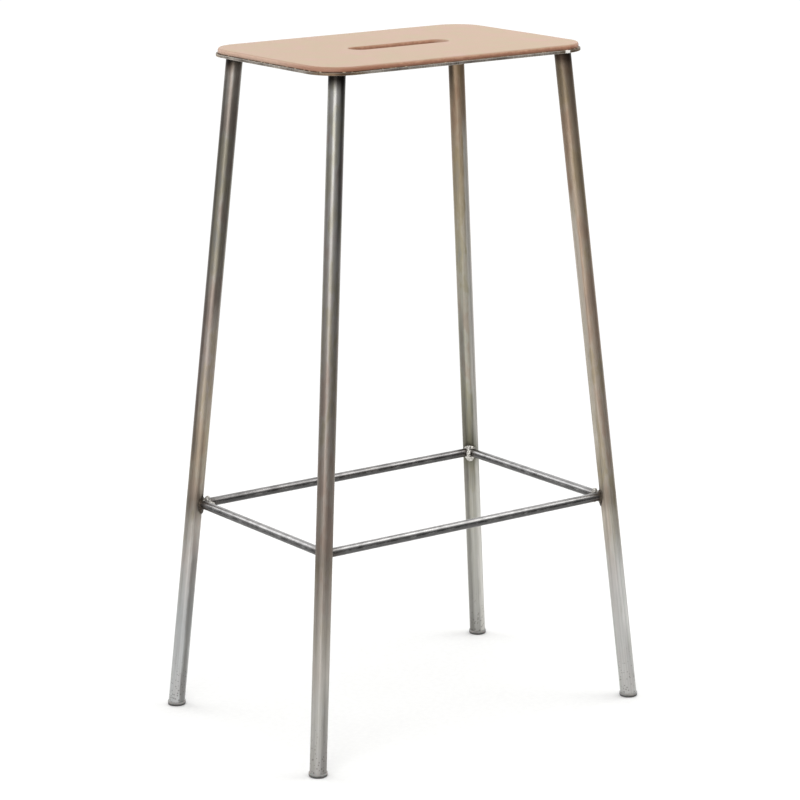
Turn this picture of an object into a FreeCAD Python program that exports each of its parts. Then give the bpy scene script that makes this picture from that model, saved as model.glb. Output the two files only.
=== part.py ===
import FreeCAD, Part
import math
import os

import Sketcher

# Bar stool with a footrest, in millimetres.
# +Z is up, +X runs along the seat's long side and -Y is the front. The origin is on the floor,
# under the middle of the seat. The four legs lean outwards, and every piece at a corner is made
# by the same function from the signs of its X and Y.

doc = FreeCAD.newDocument("bar_stool")

# Driving dimensions

SIZES = [
    ("seat_height", 760, "floor to the top of the leather"),
    ("plate_length", 358, "steel seat plate, along X"),
    ("plate_width", 242, "steel seat plate, along Y"),
    ("plate_thickness", 3, "steel seat plate"),
    ("plate_corner", 39, "corner radius of the plate, seen from above"),
    ("plate_edge_break", 0.4, "filed-off edge of the plate"),
    ("leather_thickness", 5.5, "leather pad"),
    ("leather_setback", 2, "from the plate's edge in to the leather's edge"),
    ("leather_top_round", 1.8, "burnished upper edge of the leather"),
    ("leather_bottom_round", 0.6, "lower edge of the leather"),
    ("adhesive_thickness", 0.5, "glue layer under the leather"),
    ("adhesive_setback", 1.5, "from the leather's edge in to the glue's edge"),
    ("slot_length", 130, "hand slot in the leather, tip to tip"),
    ("slot_width", 26, "hand slot in the leather"),
    ("leg_diameter", 18.6, "leg tube, outside"),
    ("leg_wall", 1.5, "leg tube wall"),
    ("leg_inset_x", 28, "from the plate's end in to a leg's axis under the plate"),
    ("leg_inset_y", 22.5, "from the plate's side in to a leg's axis under the plate"),
    ("leg_splay_x", 67.5, "outwards along X from a leg's top to its foot"),
    ("leg_splay_y", 46.5, "outwards along Y from a leg's top to its foot"),
    ("rod_diameter", 10, "footrest rod"),
    ("rod_height", 240, "floor to the footrest rods' axes"),
    ("rod_inset", 5.8, "from a leg's axis in to the rods' axes, along X and along Y"),
    ("glide_height", 4.2, "part of the glide below the tube"),
    ("glide_overhang", 1, "glide flange beyond the tube's outside"),
    ("glide_round", 1.4, "lower edge of the glide flange"),
    ("plug_length", 22, "glide plug inside the tube"),
    ("plug_clearance", 1.2, "round the plug, between its ribs"),
    ("rib_clearance", 0.1, "round the plug's ribs"),
    ("rib_height", 1.6, "each rib of the plug, along the leg"),
    ("leg_weld_width", 2.2, "bead round a leg's top, outwards along the plate"),
    ("leg_weld_drop", 2.4, "bead round a leg's top, down the tube"),
    ("rod_weld_width", 3.4, "bead round a rod, outwards at the leg"),
    ("rod_weld_reach", 8, "bead round a rod, along it from the corner of the rods"),
    ("leg_weld_toe", 0.11, "thickness at which a leg's bead runs out on the tube"),
    ("rod_weld_toe", 0.17, "thickness at which a rod's bead runs out on the rod"),
    ("spare", 30, "length that a cut-off piece has beyond its cut"),
]

sheet = doc.addObject("Spreadsheet::Sheet", "dims")
for row, (alias, value, meaning) in enumerate(SIZES, start=1):
    sheet.set(f"A{row}", meaning)
    sheet.set(f"B{row}", str(value))
    sheet.setAlias(f"B{row}", alias)
doc.recompute()

# Lengths worked out from the driving dimensions, as expressions

PLATE_BOTTOM = "(dims.seat_height - dims.leather_thickness - dims.adhesive_thickness - dims.plate_thickness)"
PLATE_TOP = f"({PLATE_BOTTOM} + dims.plate_thickness)"
LEATHER_BOTTOM = f"({PLATE_TOP} + dims.adhesive_thickness)"
LEG_RADIUS = "(dims.leg_diameter / 2)"
BORE_RADIUS = f"({LEG_RADIUS} - dims.leg_wall)"
ROD_RADIUS = "(dims.rod_diameter / 2)"
LEAN = f"atan(hypot(dims.leg_splay_x; dims.leg_splay_y) / {PLATE_BOTTOM})"

CORNERS = [
    ("front_left", -1, -1),
    ("front_right", 1, -1),
    ("rear_left", -1, 1),
    ("rear_right", 1, 1),
]

parts = []


def leg_x(height):
    """Distance of a leg's axis from the middle along X at this height, as an expression."""
    splayed = f"dims.leg_splay_x * (1 - ({height}) / {PLATE_BOTTOM})"
    return f"(dims.plate_length / 2 - dims.leg_inset_x + {splayed})"


def leg_y(height):
    """Distance of a leg's axis from the middle along Y at this height, as an expression."""
    splayed = f"dims.leg_splay_y * (1 - ({height}) / {PLATE_BOTTOM})"
    return f"(dims.plate_width / 2 - dims.leg_inset_y + {splayed})"


def part_object(kind, label, **links):
    """A new document object of this kind, with its linked objects or plain settings."""
    thing = doc.addObject(kind, label)
    thing.Label = label
    for name, value in links.items():
        setattr(thing, name, value)
    return thing


def bind(thing, **sizes):
    """Binds each named size of an object to an expression."""
    for name, expression in sizes.items():
        thing.setExpression(name, str(expression))
    return thing


def put(thing, x, y, z, turn="rotation(0; 0; 0)"):
    """Places an object at x, y, z with a turn, all of them expressions."""
    thing.setExpression("Placement", f"placement(vector({x}; {y}; {z}); {turn})")
    return thing


def sub_part(thing, label):
    """Gives the object its part name and adds it to the parts that are written out."""
    thing.Label = label
    parts.append(thing)
    return thing


def xy_plane(body):
    return next(item for item in body.Origin.OriginFeatures if item.Role == "XY_Plane")


def flat_sketch(body, name):
    """A sketch on the body's own XY plane."""
    sketch = body.newObject("Sketcher::SketchObject", name)
    sketch.AttachmentSupport = [(xy_plane(body), "")]
    sketch.MapMode = "FlatFace"
    return sketch


def value_of(expression):
    """The number that an expression gives now."""
    return float(sheet.evalExpression(str(expression)))


def fix(sketch, kind, *where, to):
    """Adds one dimension to a sketch, at its size now, and binds it to an expression."""
    index = sketch.addConstraint(Sketcher.Constraint(kind, *where, value_of(to)))
    sketch.setExpression(f"Constraints[{index}]", str(to))


def draw_rounded_rectangle(sketch, length, width, corner):
    """A rounded rectangle about the origin, from three expressions.

    Lines are drawn as front, right, rear and left, with an arc after each.
    """
    half_x, half_y, radius = value_of(length) / 2, value_of(width) / 2, value_of(corner)
    inner_x, inner_y = half_x - radius, half_y - radius
    ends = [
        ((-inner_x, -half_y), (inner_x, -half_y)),
        ((half_x, -inner_y), (half_x, inner_y)),
        ((inner_x, half_y), (-inner_x, half_y)),
        ((-half_x, inner_y), (-half_x, -inner_y)),
    ]
    centres = [(inner_x, -inner_y), (inner_x, inner_y), (-inner_x, inner_y), (-inner_x, -inner_y)]
    quarter = math.pi / 2
    lines = [
        sketch.addGeometry(Part.LineSegment(FreeCAD.Vector(*start, 0), FreeCAD.Vector(*end, 0)), False)
        for start, end in ends
    ]
    arcs = []
    for index, centre in enumerate(centres):
        circle = Part.Circle(FreeCAD.Vector(*centre, 0), FreeCAD.Vector(0, 0, 1), radius)
        arc = Part.ArcOfCircle(circle, (index - 1) * quarter, index * quarter)
        arcs.append(sketch.addGeometry(arc, False))
    start_point, end_point = 1, 2
    for index, arc in enumerate(arcs):
        following = lines[(index + 1) % 4]
        sketch.addConstraint(Sketcher.Constraint("Tangent", lines[index], end_point, arc, start_point))
        sketch.addConstraint(Sketcher.Constraint("Tangent", arc, end_point, following, start_point))
    for index in (1, 2, 3):
        sketch.addConstraint(Sketcher.Constraint("Equal", arcs[0], arcs[index]))
    for index in (0, 2):
        sketch.addConstraint(Sketcher.Constraint("Horizontal", lines[index]))
        sketch.addConstraint(Sketcher.Constraint("Vertical", lines[index + 1]))
    origin = (-1, 1)
    sketch.addConstraint(Sketcher.Constraint("Symmetric", lines[0], start_point, lines[2], start_point, *origin))
    fix(sketch, "Radius", arcs[0], to=corner)
    fix(sketch, "DistanceX", lines[3], end_point, lines[1], start_point, to=length)
    fix(sketch, "DistanceY", lines[0], end_point, lines[2], start_point, to=width)


def draw_slot(sketch, length, width):
    """A slot with round ends about the origin, along X, from two expressions."""
    radius = value_of(width) / 2
    half_run = value_of(length) / 2 - radius
    quarter = math.pi / 2
    front = sketch.addGeometry(
        Part.LineSegment(FreeCAD.Vector(-half_run, -radius, 0), FreeCAD.Vector(half_run, -radius, 0)), False)
    rear = sketch.addGeometry(
        Part.LineSegment(FreeCAD.Vector(half_run, radius, 0), FreeCAD.Vector(-half_run, radius, 0)), False)
    up = FreeCAD.Vector(0, 0, 1)
    right_round = Part.Circle(FreeCAD.Vector(half_run, 0, 0), up, radius)
    right = sketch.addGeometry(Part.ArcOfCircle(right_round, -quarter, quarter), False)
    left_round = Part.Circle(FreeCAD.Vector(-half_run, 0, 0), up, radius)
    left = sketch.addGeometry(Part.ArcOfCircle(left_round, quarter, 3 * quarter), False)
    start_point, end_point, centre = 1, 2, 3
    origin = (-1, 1)
    for first, second in ((front, right), (right, rear), (rear, left), (left, front)):
        sketch.addConstraint(Sketcher.Constraint("Tangent", first, end_point, second, start_point))
    sketch.addConstraint(Sketcher.Constraint("Equal", right, left))
    sketch.addConstraint(Sketcher.Constraint("Horizontal", front))
    sketch.addConstraint(Sketcher.Constraint("Symmetric", right, centre, left, centre, *origin))
    fix(sketch, "Radius", right, to=f"({width}) / 2")
    fix(sketch, "DistanceX", left, centre, right, centre, to=f"({length}) - ({width})")


def edges_at(feature, height):
    """Names of a feature's level edges at this height, in its body's own frame."""
    return [
        f"Edge{index}" for index, edge in enumerate(feature.Shape.Edges, start=1)
        if abs(edge.BoundBox.ZMin - height) < 1e-6 and abs(edge.BoundBox.ZMax - height) < 1e-6
    ]


def seat_layer(label, thickness, bottom, setback):
    """One flat layer of the seat with its hand slot: a body made of a pad and a pocket.

    The layer's outline is the plate's, drawn in by the setback. Its slot is the leather's,
    made larger by as much as this layer's edge lies inside the leather's edge.
    """
    body = part_object("PartDesign::Body", label)
    outline = flat_sketch(body, label + "_outline")
    draw_rounded_rectangle(
        outline,
        f"dims.plate_length - 2 * ({setback})",
        f"dims.plate_width - 2 * ({setback})",
        f"dims.plate_corner - ({setback})",
    )
    pad = body.newObject("PartDesign::Pad", label + "_sheet")
    pad.Profile = outline
    bind(pad, Length=thickness)
    opening = flat_sketch(body, label + "_slot")
    growth = f"2 * (({setback}) - dims.leather_setback)"
    draw_slot(opening, f"dims.slot_length + {growth}", f"dims.slot_width + {growth}")
    pocket = body.newObject("PartDesign::Pocket", label + "_hand_slot")
    pocket.Profile = opening
    pocket.Reversed = True
    bind(pocket, Length=thickness)
    put(body, "0", "0", bottom)
    doc.recompute()
    assert pocket.Shape.Volume < pad.Shape.Volume, "the hand slot cut nothing"
    return body


def round_edges(body, name, height, radius):
    """Rounds every level edge of the body's tip at this height."""
    tip = body.Tip
    fillet = body.newObject("PartDesign::Fillet", name)
    fillet.Base = (tip, edges_at(tip, height))
    bind(fillet, Radius=radius)
    body.Tip = fillet
    doc.recompute()


def seat():
    plate = seat_layer("seat_plate", "dims.plate_thickness", PLATE_BOTTOM, "0")
    round_edges(plate, "plate_upper_break", sheet.plate_thickness, "dims.plate_edge_break")
    round_edges(plate, "plate_lower_break", 0, "dims.plate_edge_break")
    sub_part(plate, "seat_plate")

    adhesive = seat_layer(
        "seat_adhesive", "dims.adhesive_thickness", PLATE_TOP, "dims.leather_setback + dims.adhesive_setback")
    sub_part(adhesive, "seat_adhesive")

    leather = seat_layer("seat_leather", "dims.leather_thickness", LEATHER_BOTTOM, "dims.leather_setback")
    round_edges(leather, "leather_burnished_edge", sheet.leather_thickness, "dims.leather_top_round")
    round_edges(leather, "leather_lower_edge", 0, "dims.leather_bottom_round")
    sub_part(leather, "seat_leather")


def on_leg(thing, sign_x, sign_y, height, lean=LEAN):
    """Places an object on a leg's axis at this height, turned the way the leg leans and by its lean."""
    turn = f"rotation(atan2({-sign_y} * dims.leg_splay_y; {-sign_x} * dims.leg_splay_x); {lean}; 0)"
    return put(thing, f"{sign_x} * {leg_x(height)}", f"{sign_y} * {leg_y(height)}", height, turn)


def leg_cylinder(label, sign_x, sign_y, radius, start, length):
    """A round bar along a leg's axis, from this height and for this length."""
    bar = bind(part_object("Part::Cylinder", label), Radius=radius, Height=length)
    return on_leg(bar, sign_x, sign_y, start)


def level_slab(label, low, high):
    """A block round the whole stool between two heights, which cuts slanted pieces off level."""
    half_x, half_y = f"({leg_x('0')} + dims.spare)", f"({leg_y('0')} + dims.spare)"
    slab = bind(
        part_object("Part::Box", label),
        Length=f"2 * {half_x}",
        Width=f"2 * {half_y}",
        Height=f"({high}) - ({low})",
    )
    return put(slab, f"-{half_x}", f"-{half_y}", low)


def leg(corner, sign_x, sign_y):
    """A straight tube, cut level under the plate and level on its glide."""
    over_length = f"({PLATE_BOTTOM} + 2 * dims.spare) / cos({LEAN})"
    outside = leg_cylinder(f"leg_outside_{corner}", sign_x, sign_y, LEG_RADIUS, "-dims.spare", over_length)
    bore = leg_cylinder(f"leg_bore_{corner}", sign_x, sign_y, BORE_RADIUS, "-dims.spare", over_length)
    tube = part_object("Part::Cut", f"leg_tube_{corner}", Base=outside, Tool=bore)
    room = level_slab(f"leg_room_{corner}", "dims.glide_height", PLATE_BOTTOM)
    sub_part(part_object("Part::Common", f"leg_{corner}", Base=tube, Tool=room), f"leg_{corner}")
    return outside


def glide(corner, sign_x, sign_y):
    """A level flange under the tube's end, with a ribbed plug up inside the tube."""
    flange_radius = f"{LEG_RADIUS} + dims.glide_overhang"
    disc = part_object("Part::Cylinder", f"glide_disc_{corner}")
    bind(disc, Radius=flange_radius, Height="dims.glide_height")
    put(disc, f"{sign_x} * {leg_x('dims.glide_height')}", f"{sign_y} * {leg_y('dims.glide_height')}", "0")
    doc.recompute()
    flange = part_object("Part::Fillet", f"glide_flange_{corner}", Base=disc)
    floor_edge = next(
        index for index, edge in enumerate(disc.Shape.Edges, start=1)
        if abs(edge.BoundBox.ZMax) < 1e-6)
    flange.Edges = [(floor_edge, sheet.glide_round, sheet.glide_round)]

    plug = leg_cylinder(
        f"glide_plug_{corner}", sign_x, sign_y, f"{BORE_RADIUS} - dims.plug_clearance",
        "dims.glide_height / 2", "dims.plug_length")
    pieces = [flange, plug]
    rib_count = 3
    for number in range(1, rib_count + 1):
        share = f"{number} / {rib_count + 1}"
        height = f"dims.glide_height + (dims.plug_length - dims.glide_height) * {share}"
        pieces.append(leg_cylinder(
            f"glide_rib_{corner}_{number}", sign_x, sign_y, f"{BORE_RADIUS} - dims.rib_clearance",
            height, "dims.rib_height"))
    sub_part(part_object("Part::MultiFuse", f"glide_{corner}", Shapes=pieces), f"glide_{corner}")


def leg_weld(corner, sign_x, sign_y, outside):
    """A fillet bead between the tube's outside and the plate's underside.

    Its level sections are ellipses, because the tube that they follow leans.
    """
    sections = []
    for name, height, growth in (
        ("low", f"{PLATE_BOTTOM} - dims.leg_weld_drop", "dims.leg_weld_toe"),
        ("high", PLATE_BOTTOM, "dims.leg_weld_width"),
    ):
        ring = part_object("Part::Ellipse", f"leg_weld_{name}_{corner}")
        bind(
            ring,
            MajorRadius=f"{LEG_RADIUS} / cos({LEAN}) + {growth}",
            MinorRadius=f"{LEG_RADIUS} + {growth}",
        )
        sections.append(on_leg(ring, sign_x, sign_y, height, lean="0"))
    bead = part_object("Part::Loft", f"leg_weld_loft_{corner}", Sections=sections, Solid=True, Ruled=True)
    cut = part_object("Part::Cut", f"leg_weld_{corner}", Base=bead, Tool=outside)
    sub_part(cut, f"leg_weld_{corner}")


def corner_axis(sign, along_x):
    """Where the rods' axes cross at a corner, along X or along Y."""
    reach = leg_x("dims.rod_height") if along_x else leg_y("dims.rod_height")
    return f"{sign} * ({reach} - dims.rod_inset)"


ALONG_X = "rotation(0; 90; 0)"
ALONG_Y = "rotation(0; 0; -90)"


def rod_bar(label, along_x, side):
    """An uncut round rod on one side of the footrest, longer than it ends up."""
    half_run = f"({leg_x('dims.rod_height') if along_x else leg_y('dims.rod_height')} + dims.spare)"
    bar = bind(part_object("Part::Cylinder", label), Radius=ROD_RADIUS, Height=f"2 * {half_run}")
    if along_x:
        return put(bar, f"-{half_run}", corner_axis(side, False), "dims.rod_height", ALONG_X)
    return put(bar, corner_axis(side, True), f"-{half_run}", "dims.rod_height", ALONG_Y)


def mitre_block(label, along_x, side):
    """A block round one rod whose plan is a trapezium, so that its ends are the corners' mitres."""
    long_reach = leg_x("dims.rod_height") if along_x else leg_y("dims.rod_height")
    half = f"({long_reach} - dims.rod_inset)"
    outer, inner = f"({half} + {ROD_RADIUS})", f"({half} - {ROD_RADIUS})"
    block = bind(
        part_object("Part::Wedge", label),
        Xmin=f"-{outer}", Xmax=outer, X2min=f"-{inner}", X2max=inner,
        Ymin="0", Ymax="dims.rod_diameter",
        Zmin=f"-{ROD_RADIUS}", Zmax=ROD_RADIUS, Z2min=f"-{ROD_RADIUS}", Z2max=ROD_RADIUS,
    )
    across = f"({corner_axis(side, not along_x)} + {side} * {ROD_RADIUS})"
    if along_x:
        turn = "rotation(0; 0; 0)" if side < 0 else "rotation(180; 0; 0)"
        return put(block, "0", across, "dims.rod_height", turn)
    turn = "rotation(-90; 0; 0)" if side < 0 else "rotation(90; 0; 0)"
    return put(block, across, "0", "dims.rod_height", turn)


def footrest_rod(name, along_x, side, outsides):
    """A solid rod, mitred at both ends and coped against the two legs that it meets."""
    bar = rod_bar(f"rod_bar_{name}", along_x, side)
    mitred = part_object(
        "Part::Common", f"rod_mitred_{name}", Base=bar, Tool=mitre_block(f"rod_mitre_{name}", along_x, side))
    met = [
        outsides[corner] for corner, sign_x, sign_y in CORNERS
        if (sign_y if along_x else sign_x) == side
    ]
    legs = part_object("Part::Compound", f"rod_legs_{name}", Links=met)
    sub_part(part_object("Part::Cut", f"footrest_{name}", Base=mitred, Tool=legs), f"footrest_{name}")
    return bar


def weld_cone(label, sign_x, sign_y, along_x):
    """A cone of weld metal round one rod's end, thick at the corner and thin where it runs out."""
    cone = bind(
        part_object("Part::Cone", label),
        Radius1=f"{ROD_RADIUS} + dims.rod_weld_width",
        Radius2=f"{ROD_RADIUS} + dims.rod_weld_toe",
        Height="dims.rod_weld_reach",
    )
    sign = sign_x if along_x else sign_y
    turn = f"rotation(0; {-90 * sign}; 0)" if along_x else f"rotation(0; 0; {90 * sign})"
    return put(cone, corner_axis(sign_x, True), corner_axis(sign_y, False), "dims.rod_height", turn)


def footrest_weld(corner, sign_x, sign_y, outside, bars):
    """The bead round both rods where they meet in front of a leg, less the rods and the leg."""
    cones = [
        weld_cone(f"footrest_weld_cone_{axis}_{corner}", sign_x, sign_y, along_x)
        for axis, along_x in (("x", True), ("y", False))
    ]
    lump = part_object("Part::MultiFuse", f"footrest_weld_lump_{corner}", Shapes=cones)
    clear = part_object("Part::MultiFuse", f"footrest_weld_clear_{corner}", Shapes=[outside, *bars])
    cut = part_object("Part::Cut", f"footrest_weld_{corner}", Base=lump, Tool=clear)
    sub_part(cut, f"footrest_weld_{corner}")


def build():
    seat()
    outsides = {}
    for corner, sign_x, sign_y in CORNERS:
        outsides[corner] = leg(corner, sign_x, sign_y)
        glide(corner, sign_x, sign_y)
        leg_weld(corner, sign_x, sign_y, outsides[corner])
    bars = {
        name: footrest_rod(name, along_x, side, outsides)
        for name, along_x, side in (
            ("front", True, -1), ("rear", True, 1), ("left", False, -1), ("right", False, 1))
    }
    for corner, sign_x, sign_y in CORNERS:
        meeting = [bars[name] for name in corner.split("_")]
        footrest_weld(corner, sign_x, sign_y, outsides[corner], meeting)
    doc.recompute()


def check():
    """Stops before anything is written if an object failed or a part's shape is not whole."""
    for thing in doc.Objects:
        bad = {"Invalid", "Error"} & set(thing.State)
        assert not bad, f"{thing.Label} did not compute: {thing.State}"
        if thing.TypeId == "Sketcher::SketchObject":
            assert thing.FullyConstrained, f"{thing.Label} has a free dimension"
    for part in parts:
        assert not part.Shape.isNull(), f"{part.Label} is empty"
        assert part.Shape.isValid(), f"{part.Label} is not a valid shape"
        assert part.Shape.Volume > 0, f"{part.Label} has no volume"


def write():
    os.makedirs("parts", exist_ok=True)
    for part in parts:
        part.Shape.exportStep(f"parts/{part.Label}.step")
        box = part.Shape.optimalBoundingBox(False, False)
        print(
            f"{part.Label:30s} solids {len(part.Shape.Solids)} volume {part.Shape.Volume:10.1f}",
            f"x {box.XMin:7.1f} {box.XMax:7.1f} y {box.YMin:7.1f} {box.YMax:7.1f} z {box.ZMin:6.1f} {box.ZMax:6.1f}")


build()
check()
write()
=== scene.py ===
"""Looks of the bar stool: leather pad, raw steel frame with its welds, end glides, floor, lights, camera."""
import math
import random

import bmesh
import bpy
from mathutils import Matrix, Vector, noise


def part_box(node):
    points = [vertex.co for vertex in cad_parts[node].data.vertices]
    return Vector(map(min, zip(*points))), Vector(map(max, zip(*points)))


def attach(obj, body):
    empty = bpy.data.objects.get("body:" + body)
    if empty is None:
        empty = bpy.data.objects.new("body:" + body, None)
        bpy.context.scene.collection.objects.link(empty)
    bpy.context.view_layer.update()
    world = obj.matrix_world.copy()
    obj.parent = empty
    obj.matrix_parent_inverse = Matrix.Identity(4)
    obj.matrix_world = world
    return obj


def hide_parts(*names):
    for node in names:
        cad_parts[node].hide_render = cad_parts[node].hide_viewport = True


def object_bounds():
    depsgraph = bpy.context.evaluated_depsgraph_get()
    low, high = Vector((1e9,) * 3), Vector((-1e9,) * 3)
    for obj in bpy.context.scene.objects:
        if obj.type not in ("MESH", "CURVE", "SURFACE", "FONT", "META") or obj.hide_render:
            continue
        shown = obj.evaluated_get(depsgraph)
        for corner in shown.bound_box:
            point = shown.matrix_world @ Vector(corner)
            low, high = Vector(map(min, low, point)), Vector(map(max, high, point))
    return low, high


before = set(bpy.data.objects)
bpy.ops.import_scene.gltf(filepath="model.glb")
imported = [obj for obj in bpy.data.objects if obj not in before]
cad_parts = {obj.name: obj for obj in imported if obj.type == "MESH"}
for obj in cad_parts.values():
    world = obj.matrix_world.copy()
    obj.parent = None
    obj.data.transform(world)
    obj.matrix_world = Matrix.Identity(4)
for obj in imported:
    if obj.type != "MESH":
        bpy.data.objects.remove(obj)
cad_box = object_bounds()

MM = 0.001
CORNERS = ("front_left", "front_right", "rear_left", "rear_right")
UP = Vector((0, 0, 1))

# Sockets of a colour Mix node, whose input names repeat for each kind of data.
SHARE, UNDER, OVER, MIXED = 0, 6, 7, 2


# ---------------------------------------------------------------- helpers

def linear(shade):
    """An sRGB hex colour as the linear colour that a socket holds."""
    parts = [int(shade[i:i + 2], 16) / 255 for i in (1, 3, 5)]
    return [c / 12.92 if c <= 0.04045 else ((c + 0.055) / 1.055) ** 2.4 for c in parts] + [1.0]


def per_size(size):
    """A texture's scale for a pattern whose features are this long, in mm."""
    return 1 / (size * MM)


def add(tree, kind, inputs=None, out=0, stops=(), **settings):
    """Adds a shader node with its settings, fills its inputs with values or outputs, returns an output."""
    node = tree.nodes.new("ShaderNode" + kind)
    for name, value in settings.items():
        setattr(node, name, value)
    for name, value in (inputs or {}).items():
        if isinstance(value, bpy.types.NodeSocket):
            tree.links.new(value, node.inputs[name])
        else:
            node.inputs[name].default_value = value
    if stops:
        steps = node.color_ramp.elements
        while len(steps) < len(stops):
            steps.new(1.0)
        for step, (place, shade) in zip(steps, stops):
            step.position = place
            step.color = linear(shade)
    return node.outputs[out]


def mapped(tree, value, start, end, low=0.0, high=1.0, smooth=False, **settings):
    """A value that goes from start to end, turned into one that goes from low to high."""
    return add(tree, "MapRange",
               {"Value": value, "From Min": start, "From Max": end, "To Min": low, "To Max": high},
               interpolation_type="SMOOTHSTEP" if smooth else "LINEAR", **settings)


def maths(tree, operation, *terms):
    """One sum on values or outputs."""
    return add(tree, "Math", dict(enumerate(terms)), operation=operation)


def between(tree, operation, first, second):
    """The distance of two points, or the dot product of two directions."""
    return add(tree, "VectorMath", {0: first, 1: second}, "Value", operation=operation)


def along(tree, vector, axis):
    """One coordinate of a vector."""
    return add(tree, "SeparateXYZ", {"Vector": vector}, out=axis)


def clouds(tree, place, size, detail, roughness=0.5):
    """Cloudy noise whose features are about this long, in mm."""
    return add(tree, "TexNoise",
               {"Vector": place, "Scale": per_size(size), "Detail": detail, "Roughness": roughness})


def cells(tree, place, size):
    """The distance from scattered points that are about this far apart, in mm."""
    return add(tree, "TexVoronoi", {"Vector": place, "Scale": per_size(size), "Randomness": 1.0},
               out="Distance")


def coloured(tree, value, *stops):
    """A colour for a value, by stops that each hold a value and an sRGB hex colour."""
    return add(tree, "ValToRGB", {"Fac": value}, stops=stops)


def laid(tree, under, over, share=1.0, how="MIX"):
    """One colour laid over another by a share from 0 to 1. The upper one can be sRGB hex."""
    upper = linear(over) if isinstance(over, str) else over
    return add(tree, "Mix", {SHARE: share, UNDER: under, OVER: upper}, MIXED,
               data_type="RGBA", blend_type=how)


def relief(tree, height, strength, depth, over=None):
    """Fine relief, this deep in mm, on the bare surface or over another relief."""
    inputs = {"Height": height, "Strength": strength, "Distance": depth * MM}
    if over is not None:
        inputs["Normal"] = over
    return add(tree, "Bump", inputs)


def surface(name, **values):
    """A new material with a Principled surface. values go on the sockets named, with _ for a space."""
    made = bpy.data.materials.new(name)
    made.use_nodes = True
    principled = made.node_tree.nodes["Principled BSDF"]
    for socket, value in values.items():
        principled.inputs[socket.replace("_", " ")].default_value = value
    return made, made.node_tree, principled


def feed(tree, shader, **outputs):
    """Joins outputs to the surface's inputs, named with _ for a space."""
    for socket, output in outputs.items():
        tree.links.new(output, shader.inputs[socket.replace("_", " ")])


def finish_with(node_name, made):
    """Gives a CAD node a material in place of the one that it came with."""
    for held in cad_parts[node_name].material_slots:
        held.material = made


def new_piece(name, mesh, made, stands_for=()):
    """Shows a mesh as a piece of the stool, smooth, in its material, riding on the frame."""
    piece = bpy.data.objects.new(name, mesh)
    bpy.context.scene.collection.objects.link(piece)
    for face in mesh.polygons:
        face.use_smooth = True
    mesh.materials.append(made)
    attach(piece, "root")
    if stands_for:
        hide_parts(*stands_for)
    return piece


# ---------------------------------------------------------------- measures from the frame

def leg_end(corner, top):
    """The middle of a leg's top or bottom end."""
    node = "leg_" + corner
    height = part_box(node)[1 if top else 0].z
    rim = [v.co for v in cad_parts[node].data.vertices if abs(v.co.z - height) < 0.05 * MM]
    xs = [p.x for p in rim]
    ys = [p.y for p in rim]
    return Vector(((min(xs) + max(xs)) / 2, (min(ys) + max(ys)) / 2, height))


def leg_axis(corner):
    """A leg's bottom point and its direction upwards."""
    foot = leg_end(corner, top=False)
    return foot, (leg_end(corner, top=True) - foot).normalized()


def from_leg(point, corner):
    """The direction straight out from a leg's axis to a point, and the distance."""
    foot, axis = leg_axis(corner)
    apart = point - foot
    away = apart - axis * apart.dot(axis)
    return away.normalized(), away.length


def outward(corner):
    """The signs of x and y at a corner."""
    return (1 if "right" in corner else -1), (1 if "rear" in corner else -1)


def middle(node):
    """The middle of a CAD node's box."""
    low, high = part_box(node)
    return (low + high) / 2


def compass(azimuth, elevation=0.0):
    """A direction, from an azimuth in degrees that is 0 in front of the stool and 90 on its right."""
    a, e = math.radians(azimuth), math.radians(elevation)
    return Vector((math.sin(a) * math.cos(e), -math.cos(a) * math.cos(e), math.sin(e)))


PLATE_LOW, PLATE_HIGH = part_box("seat_plate")
PAD_LOW, PAD_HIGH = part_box("seat_leather")
ROD_HEIGHT = middle("footrest_front").z
ROD_RADIUS = (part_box("footrest_front")[1].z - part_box("footrest_front")[0].z) / 2
ROD_X = middle("footrest_right").x
ROD_Y = middle("footrest_rear").y
TUBE_RADIUS = max((v.co - leg_axis("front_left")[0]).cross(leg_axis("front_left")[1]).length
                  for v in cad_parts["leg_front_left"].data.vertices)


def rod_corner(corner):
    """Where the axes of a corner's two rods cross."""
    side_x, side_y = outward(corner)
    return Vector((side_x * ROD_X, side_y * ROD_Y, ROD_HEIGHT))


# ---------------------------------------------------------------- leather pad

PAD_CORNER = 37 * MM
SLOT_HALF_LENGTH = 65 * MM
SLOT_HALF_WIDTH = 13 * MM
ARRIS_HIGH = 3.2 * MM
ARRIS_DEEP = 1.9 * MM
SLOT_ARRIS_HIGH = 1.0 * MM
SLOT_ARRIS_DEEP = 0.6 * MM
PAD_BOTTOM_ROUND = 0.6 * MM
PAD_WAVE = 0.14 * MM
PAD_WAVE_LENGTH = 55 * MM
CUT_WANDER = 0.13 * MM
CUT_WANDER_LENGTH = 18 * MM


def outline(half_x, half_y, corner, turn):
    """A point of a rounded rectangle and its outward direction, turn going from 0 to 4 once round."""
    quarter = int(turn) % 4
    share = turn - int(turn)
    if quarter % 2:
        share = 1 - share
    side, arc, end = half_y - corner, corner * math.pi / 2, half_x - corner
    run = share * (side + arc + end)
    if run < side:
        point, away = Vector((half_x, run, 0)), Vector((1, 0, 0))
    elif run < side + arc:
        angle = (run - side) / corner
        away = Vector((math.cos(angle), math.sin(angle), 0))
        point = Vector((end, side, 0)) + away * corner
    else:
        point, away = Vector((half_x - corner - (run - side - arc), half_y, 0)), Vector((0, 1, 0))
    mirror = Vector((-1 if quarter in (1, 2) else 1, -1 if quarter in (2, 3) else 1, 1))
    return point * mirror, away * mirror


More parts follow.
